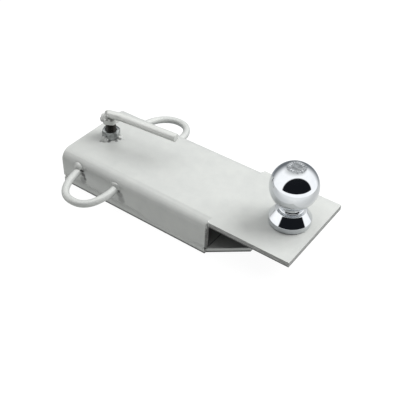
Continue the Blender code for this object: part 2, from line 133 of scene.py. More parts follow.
def smoothNoise(u, v, seed, waves=9, low=1.0, high=6.0):
    # sum of a few sine waves of random direction and phase, between about -1 and 1
    random = np.random.default_rng(seed)
    total = 0 * (u + v)
    for _ in range(waves):
        pitch = random.uniform(low, high)
        heading = random.uniform(0, 2 * np.pi)
        phase = random.uniform(0, 2 * np.pi)
        total = total + np.sin(pitch * (u * math.cos(heading) + v * math.sin(heading)) + phase)
    return total / math.sqrt(waves) / 1.4


def smoothStep(low, high, x):
    t = np.clip((x - low) / (high - low), 0, 1)
    return t * t * (3 - 2 * t)


def softPath(points, count, blend):
    # count points spread evenly along the straight runs, then averaged into bends over a window of blend
    # metres
    points = np.asarray(points, float)
    run = np.r_[0, np.cumsum(np.linalg.norm(np.diff(points, axis=0), axis=1))]
    along = np.linspace(0, run[-1], count)
    path = np.stack([np.interp(along, run, points[:, k]) for k in range(3)], -1)
    half = max(1, int(blend / (along[1] - along[0]) / 2))
    before = 2 * path[0] - path[half:0:-1]
    after = 2 * path[-1] - path[-2:-half - 2:-1]
    padded = np.concatenate([before, path, after])
    window = np.hanning(2 * half + 3)[1:-1]
    window /= window.sum()
    return np.stack([np.convolve(padded[:, k], window, "valid") for k in range(3)], -1)


def sweptBar(path, radius, sides=36, edge=0.0005):
    # a ring of the given radius, which may vary along and around, carried square to the path;
    # each end is a flat disc whose rim is a quarter round of the size edge
    path = np.asarray(path, float)
    tangent, side, up = pathFrames(path)
    angle = np.linspace(0, 2 * np.pi, sides, endpoint=False)
    spoke = np.cos(angle)[None, :, None] * side[:, None] + np.sin(angle)[None, :, None] * up[:, None]
    radius = np.broadcast_to(np.asarray(radius, float), (len(path), sides))
    rings = path[:, None] + spoke * radius[..., None]
    turn = np.radians([90, 90, 68, 45, 22])
    shrink = np.array([0.0, 1.0, 1.0, 1.0, 1.0])

    def cap(end, direction):
        inner = radius[end] - edge
        reach = (inner + edge * np.cos(turn)[:, None]) * shrink[:, None]
        out = edge * np.sin(turn)[:, None, None] * direction * tangent[end]
        return path[end] + spoke[end] * reach[..., None] + out

    rings = np.concatenate([cap(0, -1), rings, cap(-1, 1)[::-1]])
    return rings, gridFaces(len(rings), sides, wrapColumns=True)


def weldBlob(centre, across, along, out, size, height, seed, lump=0.16, count=48, rows=16):
    # a low dome on the plane of the directions across and along: from the middle to the foot the height
    # falls as a rounded parabola, the foot wanders in and out, and a few sine waves raise ripples on it
    angle = np.linspace(0, 2 * np.pi, count, endpoint=False)[None, :]
    t = np.linspace(0, 1, rows)[:, None]
    foot = 1 + 0.55 * lump * smoothNoise(2 * np.cos(angle), 2 * np.sin(angle), seed, 6, 0.6, 2.2)
    u = t * np.cos(angle)
    v = t * np.sin(angle)
    ripple = smoothNoise(u, v, seed + 1, 10, 3.0, 8.0) * (1 - t ** 4)
    rise = height * ((1 - t ** 2.4) ** 0.75 + lump * ripple) - 0.00025
    rise[-1] = -0.0006
    across, along, out = (np.asarray(d, float) for d in (across, along, out))
    points = (np.asarray(centre, float) + (u * foot * size[0])[..., None] * across
              + (v * foot * size[1])[..., None] * along + rise[..., None] * out)
    under = np.asarray(centre, float) - 0.0006 * out + 0 * points[:1]
    return np.concatenate([points, under]), gridFaces(rows + 1, count, wrapColumns=True)


def hexReach(angle, across, turn, corner=0.985):
    # distance from the axis to the side of a hexagon in each direction, with its corners slightly rounded
    fold = (angle - turn + np.pi / 6) % (np.pi / 3) - np.pi / 6
    return np.minimum(across / 2 / np.cos(fold), across / math.sqrt(3) * corner)


def aroundAxis(radius, height, angle, centre):
    x = centre[0] + radius * np.cos(angle)
    y = centre[1] + radius * np.sin(angle)
    return np.stack([x, y, centre[2] + height + 0 * angle], -1)


def hexGrid(rows, centre, across, turn, columns=144):
    # rows of (radius, height, cone) round an upright axis; the radius None means the hexagon's own side,
    # whose height is then where the cone of 30 degrees that turns off the corners meets it, below (+1) or
    # above (-1) the height given, or the height itself (0)
    angle = np.linspace(0, 2 * np.pi, columns, endpoint=False) + turn
    side = hexReach(angle, across, turn)
    face = across * 0.475
    slope = math.tan(math.radians(30))
    radii, heights = [], []
    for radius, height, cone in rows:
        onSide = radius is None
        radii.append(side if onSide else radius + 0 * angle)
        heights.append(height - cone * (side - face) * slope if onSide else height + 0 * angle)
    return aroundAxis(np.array(radii), np.array(heights), angle, centre)


def threadRows(low, high, pitch, major, minor, columns, lead=1, perPitch=10):
    # radius and height of a screw thread: along the height the radius runs between minor and major in a wave
    # with flattened crests and roots, which moves on by one pitch in a turn; it fades to the minor radius at
    # both ends
    angle = np.linspace(0, 2 * np.pi, columns, endpoint=False)
    height = np.linspace(low, high, int((high - low) / pitch * perPitch) + 2)[:, None]
    phase = height / pitch - lead * angle / (2 * np.pi)
    wave = np.clip(0.5 + 0.62 * (np.abs(phase % 1 * 2 - 1) * 2 - 1), 0, 1)
    fade = smoothStep(low, low + pitch * 0.7, height) * smoothStep(high, high - pitch * 0.7, height)
    return minor + (major - minor) * wave * fade, height + 0 * angle, angle


class Wire:
    # one shader socket; sums, products and comparisons on it add Math nodes
    def __init__(self, graph, socket):
        self.graph = graph
        self.socket = socket

    def math(self, operation, *others):
        return self.graph.math(operation, self, *others)

    def __add__(self, other):
        return self.math("ADD", other)

    def __radd__(self, other):
        return self.math("ADD", other)

    def __sub__(self, other):
        return self.math("SUBTRACT", other)

    def __rsub__(self, other):
        return self.graph.math("SUBTRACT", other, self)

    def __mul__(self, other):
        return self.math("MULTIPLY", other)

    def __rmul__(self, other):
        return self.math("MULTIPLY", other)

    def __truediv__(self, other):
        return self.math("DIVIDE", other)


class Graph:
    def __init__(self, tree):
        self.tree = tree
        self.tree.nodes.clear()

    def node(self, kind, settings, inputs, output=0):
        # one node: settings first, then values or wires for its sockets, by name or number
        made = self.tree.nodes.new(kind)
        for key, value in settings.items():
            setattr(made, key, value)
        for key, value in inputs.items():
            if isinstance(value, Wire):
                self.tree.links.new(value.socket, made.inputs[key])
            else:
                made.inputs[key].default_value = value
        return Wire(self, made.outputs[output]) if len(made.outputs) else made

    def math(self, operation, *values):
        return self.node("ShaderNodeMath", {"operation": operation}, dict(enumerate(values)))

    def clamp(self, value, low, high):
        # 0 below low, 1 above high and smooth between
        settings = {"interpolation_type": "SMOOTHSTEP"}
        return self.node("ShaderNodeMapRange", settings, {"Value": value, "From Min": low, "From Max": high})

    def noise(self, where, scale, detail=3.0, roughness=0.5, distortion=0.0):
        inputs = {"Vector": where, "Scale": scale, "Detail": detail, "Roughness": roughness,
                  "Distortion": distortion}
        return self.node("ShaderNodeTexNoise", {}, inputs)

    def stretched(self, where, scale, turn=(0.0, 0.0, 0.0)):
        return self.node("ShaderNodeMapping", {}, {"Vector": where, "Scale": scale, "Rotation": turn})

    def mix(self, factor, first, second):
        return self.node("ShaderNodeMix", {"data_type": "RGBA"}, {0: factor, 6: first, 7: second}, 2)

    def bump(self, height, strength, distance, normal=None):
        inputs = {"Height": height, "Strength": strength, "Distance": distance}
        if normal is not None:
            inputs["Normal"] = normal
        return self.node("ShaderNodeBump", {}, inputs)

    def finish(self, shader):
        self.node("ShaderNodeOutputMaterial", {}, {"Surface": shader})


def newMaterial(name):
    material = bpy.data.materials.new(name)
    material.use_nodes = True
    graph = Graph(material.node_tree)
    where = graph.node("ShaderNodeTexCoord", {}, {}, "Object")
    return material, graph, where


def rgb(red, green, blue):
    # a linear colour from display values of 0 to 255
    def linear(v):
        v = v / 255
        return v / 12.92 if v <= 0.04045 else ((v + 0.055) / 1.055) ** 2.4
    return (linear(red), linear(green), linear(blue), 1.0)


paintLook = dict(
    light=rgb(181, 183, 180),
    dark=rgb(173, 175, 173),
    dust=rgb(168, 167, 160),
    flakeTone=rgb(214, 216, 216),
    # the next is a lighter tone, painted light for parts that would look too shaded
    paintedLightTone=rgb(224, 225, 221),
    # the next is the colour of the cut edges, darker partly as painted shade
    cutShade=rgb(120, 121, 119),
    # the next is dark mill scale inside the pocket, also used there as painted shade
    scale=rgb(52, 53, 56),
    # the next is the colour of the painted shade along the lower corners
    underShade=(0.02, 0.02, 0.022, 1),
    # the next is the colour of the painted highlight along the folds
    rubAndHighlight=(0.98, 0.98, 0.97, 1),
    # the next is the colour of the painted shade in crevices
    creviceShade=(0.035, 0.035, 0.036, 1),
    roughness=0.36,
    peelScale=520.0,      # orange peel, about 2 mm
    flakeScale=5200.0,    # metal flake, about 0.2 mm
)

# where each mark on the plates begins and is complete, or for a band its two sides: painted shade inside the
# pocket and along the lower corners, cut edges darkened partly as painted shade, and a painted highlight
# along the folds
plateMarks = dict(
    pocketSide=0.0508,
    pocketHeight=(0.0045, 0.0377),
    pocketLength=(-0.1465, 0.0515),
    aboveFloor=(0.0063, 0.0070),
    deepInside=(0.050, -0.030),
    tongueLength=(0.054, 0.0545),
    tongueCut=(0.0374, 0.0426),
    tongueFront=(0.1474, 0.1478),
    tongueSide=(0.0529, 0.0533),
    tongueUnder=(0.0364, 0.0382),
    wallFront=(0.0514, 0.0526),
    wallTop=(0.0400, 0.0380),
    baseUnder=(0.0033, 0.0015),
    foldSide=(0.0510, 0.0527),
    foldTop=(0.0405, 0.0415),
    foldRear=(-0.06, 0.0),
    foldFront=(0.0535, 0.0525),
)


def creviceShadeAt(g, where, spots):
    # how much painted shade a place gets, from 0 to 1: each spot is a place, a radius and a strength
    noise = g.noise(where, 420.0, 4.0, 0.7)
    total = None
    for place, radius, strength in spots:
        away = g.node("ShaderNodeVectorMath", {"operation": "DISTANCE"}, {0: where, 1: place}, "Value")
        one = g.clamp(away + (noise - 0.5) * radius * 0.7, radius, radius * 0.45) * strength
        total = one if total is None else total.math("MAXIMUM", one)
    return total


def between(g, value, low, high, soft=0.0002):
    # 1 between low and high, 0 outside
    return g.clamp(value, low - soft, low + soft) * g.clamp(value, high + soft, high - soft)


def axes(g, where):
    return [g.node("ShaderNodeSeparateXYZ", {}, {0: where}, axis) for axis in "XYZ"]


def bareInsideShade(g, where):
    # the inside of the pocket, where the paint has hardly reached, darkened as bare steel and as painted
    # shade; on the floor of it only deep inside, where painted shade stands for the light falling off
    x, y, z = axes(g, where)
    marks = plateMarks
    pocket = between(g, y, -marks["pocketSide"], marks["pocketSide"], 0.0003)
    pocket = pocket * between(g, z, *marks["pocketHeight"], 0.0003)
    pocket = pocket * between(g, x, *marks["pocketLength"], 0.002)
    return pocket * g.math("MAXIMUM", g.clamp(z, *marks["aboveFloor"]), g.clamp(x, *marks["deepInside"]))


def cutEdgeShade(g, where):
    # the rough cut edges of the tongue and of the front ends of the walls, where the paint lies thin,
    # darkened further as painted shade on these faces
    x, y, z = axes(g, where)
    marks = plateMarks
    tongue = between(g, z, *marks["tongueCut"]) * g.clamp(x, *marks["tongueLength"])
    front = g.clamp(x, *marks["tongueFront"])
    sides = g.clamp(g.math("ABSOLUTE", y), *marks["tongueSide"])
    wallEnd = between(g, x, *marks["wallFront"]) * g.clamp(z, *marks["wallTop"])
    return g.math("MAXIMUM", tongue * g.math("MAXIMUM", front, sides), wallEnd)


def lowerArrisShade(g, where):
    # painted shade along the lower corners of the base plate and of the tongue
    x, y, z = axes(g, where)
    under = between(g, z, *plateMarks["tongueUnder"]) * g.clamp(x, *plateMarks["tongueLength"])
    return g.math("MAXIMUM", g.clamp(z, *plateMarks["baseUnder"]), under)


def foldHighlight(g, where):
    # a painted highlight: a bright line where the front half of each fold begins
    x, y, z = axes(g, where)
    marks = plateMarks
    line = between(g, g.math("ABSOLUTE", y), *marks["foldSide"], 0.0005) * g.clamp(z, *marks["foldTop"])
    return line * g.clamp(x, *marks["foldRear"]) * g.clamp(x, *marks["foldFront"])


def silverPaint(name, rough=0.0, lumpy=0.0, spots=(), plate=False, lift=0.0, metallic=0.12):
    # satin silver paint: faint clouds, fine flake, orange peel and rubs; lumpy adds the skin of a weld;
    # plate adds painted shade inside the pocket and along the lower corners, cut edges darkened partly as
    # painted shade and a painted highlight on the folds; spots adds painted shade in crevices; lift lightens
    # the paint as painted light where a part looks too shaded
    look = paintLook
    material, g, where = newMaterial(name)
    cloud = g.noise(where, 14.0, 3.0, 0.5)
    patch = g.noise(where, 85.0, 3.0, 0.6)
    flake = g.noise(where, look["flakeScale"], 1.0, 0.5)
    rub = g.noise(g.stretched(where, (30.0, 900.0, 300.0), (0, 0, 0.12)), 1.0, 4.0, 0.6)
    rubs = g.clamp(rub, 0.66, 0.80)
    tone = g.clamp(cloud * 0.5 + patch * 0.5, 0.30, 0.70)
    colour = g.mix(tone, look["dark"], look["light"])
    # painted light: the paint is lightened towards a lighter tone so the part looks less shaded
    if lift:
        colour = g.mix(lift, colour, look["paintedLightTone"])
    colour = g.mix(g.clamp(g.noise(where, 240.0, 5.0, 0.7), 0.64, 0.9) * 0.35, colour, look["dust"])
    colour = g.mix(g.clamp(flake, 0.35, 0.75) * 0.14, colour, look["flakeTone"])
    gloss = look["roughness"] + rough + (patch - 0.5) * 0.10 + rubs * 0.08 + (flake - 0.5) * 0.08
    if plate:
        streak = g.noise(g.stretched(where, (180.0, 180.0, 900.0)), 1.0, 4.0, 0.65)
        # the cut edges darkened, partly as painted shade
        cutShade = cutEdgeShade(g, where)
        colour = g.mix(cutShade * (0.45 + 0.9 * g.clamp(streak, 0.35, 0.65)), colour, look["cutShade"])
        # painted shade along the lower corners
        colour = g.mix(lowerArrisShade(g, where) * 0.93, colour, look["underShade"])
        # painted highlight along the front half of the folds
        rubAndHighlight = foldHighlight(g, where) * g.clamp(patch, 0.30, 0.50) * 0.8
        colour = g.mix(rubAndHighlight, colour, look["rubAndHighlight"])
        # the pocket darkened as bare steel and as painted shade
        insideShade = bareInsideShade(g, where)
        colour = g.mix(insideShade * 0.92, colour, look["scale"])
        gloss = gloss + insideShade * 0.2
    if spots:
        # painted shade in the crevices round the given spots
        spotShade = creviceShadeAt(g, where, spots)
        colour = g.mix(spotShade, colour, look["creviceShade"])
        gloss = gloss + spotShade * 0.2
    normal = g.bump(g.noise(where, look["peelScale"], 2.0, 0.5), 0.09, 0.0004)
    normal = g.bump(flake, 0.06, 0.00006, normal)
    if lumpy:
        normal = g.bump(g.noise(where, 900.0, 4.0, 0.65), lumpy, 0.0005, normal)
    shader = g.node("ShaderNodeBsdfPrincipled", {}, {
        "Base Color": colour, "Roughness": gloss, "Metallic": metallic, "Normal": normal,
    })
    g.finish(shader)
    return material


chromeLook = dict(dark=(0.53, 0.55, 0.575, 1), light=(0.59, 0.605, 0.62, 1), scuff=(0.20, 0.21, 0.22, 1))


def chromePlate():
    # mirror chrome with a breath of haze and a few hairline wipes, and scuffed on the flat top of the ball
    material, g, where = newMaterial("chrome")
    haze = g.noise(where, 60.0, 4.0, 0.6)
    wipe = g.noise(g.stretched(where, (1500.0, 60.0, 60.0), (0.3, 0.5, 0.2)), 1.0, 3.0, 0.6)
    gloss = 0.03 + g.clamp(haze, 0.45, 0.8) * 0.04 + g.clamp(wipe, 0.62, 0.85) * 0.04
    colour = g.mix(g.clamp(haze, 0.3, 0.7), chromeLook["dark"], chromeLook["light"])
    normal = g.bump(g.noise(where, 160.0, 2.0, 0.5), 0.012, 0.001)
    z = g.node("ShaderNodeSeparateXYZ", {}, {0: where}, "Z")
    flat = g.clamp(z, ballHigh.z - 0.0006, ballHigh.z - 0.0001)
    scuff = g.clamp(g.noise(where, 320.0, 4.0, 0.7), 0.42, 0.62)
    colour = g.mix(flat * scuff * 0.7, colour, chromeLook["scuff"])
    gloss = gloss + flat * 0.16
    shader = g.node("ShaderNodeBsdfPrincipled", {}, {
        "Base Color": colour, "Roughness": gloss, "Metallic": 1.0, "Normal": normal,
    })
    g.finish(shader)
    return material


zincLook = dict(dark=(0.24, 0.25, 0.25, 1), light=(0.52, 0.54, 0.54, 1))


def zincPlate():
    # bright zinc with crystalline mottling and dull worn patches
    material, g, where = newMaterial("zinc")
    crystal = g.noise(where, 700.0, 4.0, 0.65)
    marks = g.noise(where, 160.0, 4.0, 0.6)
    colour = g.mix(g.clamp(marks, 0.35, 0.7), zincLook["dark"], zincLook["light"])
    gloss = 0.20 + (crystal - 0.5) * 0.2 + g.clamp(marks, 0.5, 0.8) * 0.12
    normal = g.bump(crystal, 0.12, 0.0002)
    shader = g.node("ShaderNodeBsdfPrincipled", {}, {
        "Base Color": colour, "Roughness": gloss, "Metallic": 0.95, "Normal": normal,
    })
    g.finish(shader)
    return material


blackLook = dict(
    black=(0.008, 0.008, 0.007, 1),
    brown=(0.045, 0.043, 0.036, 1),
    rubAndHighlight=(0.16, 0.16, 0.155, 1),
)


def blackOxide():
    # oiled black steel with dull brownish spots and bright rubbed specks
    material, g, where = newMaterial("black oxide")
    spots = g.noise(where, 900.0, 4.0, 0.7)
    colour = g.mix(g.clamp(spots, 0.35, 0.7), blackLook["black"], blackLook["brown"])
    colour = g.mix(g.clamp(spots, 0.66, 0.8), colour, blackLook["rubAndHighlight"])
    normal = g.bump(spots, 0.3, 0.0002)
    shader = g.node("ShaderNodeBsdfPrincipled", {}, {
        "Base Color": colour, "Roughness": 0.36 + spots * 0.2, "Metallic": 0.6, "Normal": normal,
    })
    g.finish(shader)
    return material


loopLook = dict(
    reach={"Near": 0.0403, "Far": 0.0383},       # wall to the middle of the rod at the outer end
    squareness={"Near": 2.35, "Far": 2.15},      # 2 is an ellipse, more is squarer
    spread=0.053,
    belowTop=0.015,
    droop=math.radians(7),
    rod=0.0043,
)
loopX = (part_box("chain_loop_near")[0].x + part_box("chain_loop_near")[1].x) / 2
loopZ = topZ - loopLook["belowTop"]
headTopZ = screwHigh.z
legs = {"Rear": loopX - loopLook["spread"] / 2, "Front": loopX + loopLook["spread"] / 2}

# painted shade in the crevices round the loop welds, at the foot of the clamp nut and under the handle on
# the screw head: where, how far and how dark
creviceShade = [
    ((legs["Rear"] + 0.0040, -wallY - 0.0015, loopZ + 0.0010), 0.0036, 0.96),
    ((legs["Rear"] + 0.0050, -wallY - 0.0005, loopZ - 0.0042), 0.0040, 0.85),
    ((legs["Rear"] + 0.0070, -wallY, loopZ - 0.0092), 0.0032, 0.80),
    ((legs["Rear"] + 0.0040, -wallY, loopZ - 0.0125), 0.0058, 0.50),
    ((legs["Front"] + 0.0044, -wallY - 0.0010, loopZ - 0.0020), 0.0038, 0.75),
    ((legs["Front"] + 0.0060, -wallY, loopZ - 0.0062), 0.0060, 0.55),
    ((legs["Front"] + 0.0078, -wallY, loopZ - 0.0118), 0.0062, 0.42),
    ((clampX + 0.0108, -0.0036, topZ), 0.0026, 0.70),
    ((clampX + 0.0122, 0.0018, topZ), 0.0022, 0.60),
    ((clampX + 0.0050, -0.0100, topZ), 0.0028, 0.75),
    ((clampX - 0.0032, -0.0152, topZ), 0.0018, 0.60),
    ((clampX + 0.0078, -0.0075, headTopZ - 0.0012), 0.0026, 0.90),
    ((clampX + 0.0036, -0.0098, headTopZ), 0.0026, 0.85),
    ((clampX + 0.0100, -0.0050, headTopZ + 0.0004), 0.0022, 0.80),
]
paint = silverPaint("silver paint")
sleevePaint = silverPaint("silver paint, sleeve", spots=creviceShade, plate=True)
platePaint = silverPaint("silver paint, base plate", plate=True)
# the handle and the clamp welds are lightened with painted light so their shaded sides look less dark
handlePaint = silverPaint("silver paint, handle", spots=creviceShade[-3:], lift=0.42, metallic=0.35)
weldPaint = silverPaint("painted weld", rough=0.02, lumpy=0.3, spots=creviceShade[:11])
clampWeldPaint = silverPaint("painted weld, clamp", rough=0.02, lumpy=0.3, spots=creviceShade[-3:], lift=0.25)
chrome = chromePlate()
zinc = zincPlate()
blackThread = blackOxide()
print("materials ready")


plateLook = dict(edge=0.0007, segments=3)


def softEdgedCopy(node, name):
    # the CAD node's own shape with its loose triangles merged, its flats dissolved and its edges rounded
    mesh = bpy.data.meshes.new(name)
    work = bmesh.new()
    work.from_mesh(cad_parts[node].data)
    bmesh.ops.remove_doubles(work, verts=work.verts, dist=1e-5)
    bmesh.ops.dissolve_limit(work, angle_limit=math.radians(1), verts=work.verts, edges=work.edges)
    work.to_mesh(mesh)
    work.free()
    mesh.shade_smooth()
    mesh.set_sharp_from_angle(angle=math.radians(35))
    piece = bpy.data.objects.new(name, mesh)
    bpy.context.scene.collection.objects.link(piece)
    softEdges(piece, plateLook["edge"], plateLook["segments"])
    return piece


def softEdges(piece, width, segments, angle=32):
    bevel = piece.modifiers.new("soft edges", "BEVEL")
    bevel.width = width
    bevel.segments = segments
    bevel.limit_method = "ANGLE"
    bevel.angle_limit = math.radians(angle)
    bevel.harden_normals = True


finishPiece(softEdgedCopy("sleeve_and_tongue", "foldedSleeve"), sleevePaint, body, "silver_paint",
            "sleeve_and_tongue")
finishPiece(softEdgedCopy("base_plate", "basePlate"), platePaint, body, "silver_paint", "base_plate")


seamLook = dict(proud=0.00055, skin=0.00008, ripple=0.0014, foot=0.0056, lowToe=0.0072, highToe=0.0116)


def seamBead(side, seed):
    # along x and up z: a thin skin over the bevelled foot of the wall, and on it a ridge between foot and
    # toe with crescent ripples; the toe is high at both ends of the wall and low between them
    look = seamLook
    x = np.linspace(seamLow.x, seamHigh.x, 720)[:, None]
    z = np.linspace(0.0050, 0.0124, 34)[None, :]
    along = (x - seamLow.x) / (seamHigh.x - seamLow.x)
    wander = 0.00045 * smoothNoise(along * 60, 0 * along, seed, 8, 0.5, 2.0)
    high = 1 - smoothStep(0.54, 0.61, along) + smoothStep(0.86, 0.97, along)
    toe = look["lowToe"] + (look["highToe"] - look["lowToe"]) * high + wander
    foot = look["foot"] + wander * 0.5
    ridge = smoothStep(foot - 0.0005, foot + 0.0006, z) * smoothStep(toe + 0.0004, toe - 0.0010, z)
    wave = np.sin(2 * np.pi * (x + 1.6 * (z - foot) ** 2 / 0.006) / look["ripple"] + 4 * wander / 0.00045)
    out = look["skin"] + look["proud"] * ridge * (0.82 + 0.18 * wave)
    over = np.maximum(toe, 0.0094) + 0.0004
    out = out - 0.0005 * smoothStep(over - 0.0002, over + 0.0003, z)
    out = out - 0.0004 * smoothStep(0.0053, 0.0050, z)
    ends = smoothStep(0, 0.006, along) * smoothStep(1, 0.994, along)
    out = (out + 0.0005) * ends - 0.0005
    front = np.stack([x + 0 * z, side * (wallY + out), z + 0 * x], -1)
    back = front[:, [-1, 0]].copy()
    back[..., 1] = side * (wallY - 0.0012)
    rings = np.concatenate([front, back], 1)
    middle = rings.mean(1, keepdims=True) + 0 * rings
    rings = np.concatenate([middle[:1], rings, middle[-1:]])
    return newPiece("seamBead" + ("Far" if side > 0 else "Near"), rings,
                    gridFaces(len(rings), rings.shape[1], wrapColumns=True), sharpAngle=70)


for side, hand in ((-1, "near"), (1, "far")):
    finishPiece(seamBead(side, 11 + side), weldPaint, body, "silver_paint", "seam_weld_" + hand)
print("plates and seams done")


def joined(*parts):
    # several grids of points and their faces as one
    points, faces, start = [], [], 0
    for part, quads in parts:
        part = np.asarray(part, float).reshape(-1, 3)
        points.append(part)
        faces.append(quads + start)
        start += len(part)
    return np.concatenate(points), np.concatenate(faces)


def loopPath(side, hand, count=110):
    # half of a squared ellipse, its outer end a little lower than its legs; the legs run 1 mm into the wall
    look = loopLook
    turn = np.linspace(0, np.pi, count)
    power = 2 / look["squareness"][hand]
    across = -np.sign(np.cos(turn)) * np.abs(np.cos(turn)) ** power
    out = look["reach"][hand] * np.abs(np.sin(turn)) ** power
    out[[0, -1]] = -0.001
    x = loopX + across * look["spread"] / 2
    y = side * (wallY + out * math.cos(look["droop"]))
    z = loopZ - out * math.sin(look["droop"])
    line = np.stack([x, y, z], -1)
    run = np.r_[0, np.cumsum(np.linalg.norm(np.diff(line, axis=0), axis=1))]
    even = np.linspace(0, run[-1], count)
    return np.stack([np.interp(even, run, line[:, k]) for k in range(3)], -1)


def chainLoop(side, hand, seed):
    path = loopPath(side, hand)
    around = np.linspace(0, 2 * np.pi, 40, endpoint=False)[None, :]
    along = np.linspace(0, 14, len(path))[:, None]
    dents = 0.00007 * smoothNoise(along, 1.5 * np.cos(around), seed, 8, 0.6, 2.4)
    rings, faces = sweptBar(path, loopLook["rod"] - 0.00007 + dents, 40, 0.0004)
    return newPiece("chainLoop" + hand, rings, faces)


# where each weld lies from its leg's middle (along x, up z), its half sizes and its height
loopWelds = {
    ("Near", "Rear"): ((-0.0012, 0.0030), (0.0066, 0.0064), 0.0040),
    ("Near", "Front"): ((-0.0002, 0.0014), (0.0068, 0.0066), 0.0022),
    ("Far", "Rear"): ((0.0005, 0.0010), (0.0076, 0.0074), 0.0040),
    ("Far", "Front"): ((-0.0005, 0.0012), (0.0074, 0.0078), 0.0042),
}


def spatter(centre, across, along, out, reach, count, seed):
    # little beads scattered round a weld, further apart the further out
    random = np.random.default_rng(seed)
    across, along = np.asarray(across), np.asarray(along)
    beads = []
    for _ in range(count):
        angle = random.uniform(0, 2 * np.pi)
        away = reach * random.uniform(1.05, 1.7)
        place = np.asarray(centre) + away * (math.cos(angle) * across + math.sin(angle) * along)
        size = random.uniform(0.00035, 0.0008)
        seed = int(random.integers(99))
        beads.append(weldBlob(place, across, along, out, (size, size), size * 0.9, seed, 0.1, 12, 5))
    return beads


for side, hand in ((-1, "Near"), (1, "Far")):
    finishPiece(chainLoop(side, hand, 31 + side), paint, body, "silver_paint", "chain_loop_" + hand.lower())
    for leg, legX in legs.items():
        shift, size, height = loopWelds[hand, leg]
        place = (legX + shift[0], side * wallY, loopZ + shift[1])
        seed = int(legX * 1000) % 50 + side
        wall = (1, 0, 0), (0, 0, 1), (0, side, 0)
        blob = weldBlob(place, *wall, size, height, seed, 0.16)
        piece = newPiece("loopWeld" + hand + leg, *joined(blob, *spatter(place, *wall, 0.008, 5, seed)))
        finishPiece(piece, weldPaint, body, "silver_paint", "loop_weld_" + hand.lower() + "_" + leg.lower())
print("loops done")


nutLook = dict(across=0.0185, turn=math.radians(-40), bore=0.0062, sink=0.0009, edge=0.00018)
headLook = dict(across=0.018, height=0.0075, turn=0.0, edge=0.0002)
screwLook = dict(pitch=0.00175, major=0.0060, minor=0.0050)
tackLook = dict(
    start=math.radians(-96),
    offset=0.0012,
    sizes=((0.0062, 0.0044), (0.0048, 0.0030), (0.0050, 0.0030)),
    heights=(0.0044, 0.0026, 0.0026),
)


def hexNut(name, low, high, centre, look):
    # bottom face, chamfered corners, flats, top face, countersinks and bore, as one closed ring of rows
    tall = high.z - low.z
    face = look["across"] * 0.475
    bore, sink = look["bore"], look["sink"]
    rows = [(bore + sink, 0, 0), (face, 0, 0), (None, 0, -1), (None, tall, 1), (face, tall, 0),
            (bore + sink, tall, 0), (bore, tall - sink, 0), (bore, sink, 0)]
    points = hexGrid(rows, (*centre, low.z), look["across"], look["turn"])
    faces = gridFaces(*points.shape[:2], wrapRows=True, wrapColumns=True)
    piece = newPiece(name, points, faces, sharpAngle=32)
    softEdges(piece, look["edge"], 2, 40)
    return piece


def screwHead():
    look = headLook
    face = look["across"] * 0.475
    rows = [(0, 0, 0), (face, 0, 0), (None, 0, 0), (None, look["height"], 1), (face, look["height"], 0),
            (0, look["height"], 0)]
    points = hexGrid(rows, (clampX, 0, screwHigh.z - look["height"]), look["across"], look["turn"])
    faces = gridFaces(*points.shape[:2], wrapColumns=True)
    piece = newPiece("clampScrewHead", points, faces, sharpAngle=32)
    softEdges(piece, look["edge"], 2, 40)
    return piece


def threadedRod(name, x, low, high, look, columns=72):
    radius, height, angle = threadRows(low, high, look["pitch"], look["major"], look["minor"], columns)
    radius = np.concatenate([0 * radius[:1], radius, 0 * radius[:1]])
    height = np.concatenate([height[:1], height, height[-1:]])
    points = aroundAxis(radius, height, angle, (x, 0, 0))
    return newPiece(name, points, gridFaces(*points.shape[:2], wrapColumns=True), sharpAngle=75)


def nutTack(index):
    # a weld lies along the foot of the nut: long across, short outwards
    look = tackLook
    angle = look["start"] + 2 * math.pi * index / 3
    out = np.array([math.cos(angle), math.sin(angle), 0])
    across = np.array([-math.sin(angle), math.cos(angle), 0])
    centre = np.array([clampX, 0, topZ]) + out * (nutLook["across"] / 2 + look["offset"])
    long, short = look["sizes"][index]
    up = np.array([0, 0, 1.0])
    lean = out * 0.35 + up
    lean /= np.linalg.norm(lean)
    blob = weldBlob(centre, across, out, up, (long, short), look["heights"][index], 60 + index, 0.22)
    second = weldBlob(centre - out * 0.0016 + across * 0.001, across, out, lean, (long * 0.7, short * 0.8),
                      look["heights"][index] * 1.15, 70 + index, 0.2)
    beads = spatter(centre, across, out, up, long * 0.9, 6, 80 + index)
    return newPiece("nutTack" + str(index + 1), *joined(blob, second, *beads))


finishPiece(hexNut("clampNut", nutLow, nutHigh, (clampX, 0), nutLook), zinc, body, "zinc_plate",
            "clamp_nut")
for index in range(3):
    finishPiece(nutTack(index), weldPaint, body, "silver_paint", "nut_tack_weld_" + str(index + 1))
finishPiece(screwHead(), handlePaint, handleBody, "silver_paint", "clamp_screw")
threadTop = screwHigh.z - headLook["height"] + 0.0004
finishPiece(threadedRod("clampScrewThread", clampX, screwLow.z, threadTop, screwLook),
            blackThread, handleBody, "black_oxide", "clamp_screw")
tipRadius = (tipHigh.x - tipLow.x) / 2
tipProfile = np.concatenate([
    [(0, tipHigh.z), (tipRadius - 0.0002, tipHigh.z), (tipRadius, tipHigh.z - 0.0002)],
    arcPoints((tipRadius - 0.0009, tipLow.z + 0.0009), 0.0009, 0, -90, 7),
    [(0, tipLow.z)],
])
finishPiece(newPiece("screwTip", *lathe(tipProfile, (clampX, 0, 0), 64)), blackThread, lift, "black_oxide",
            "screw_tip")

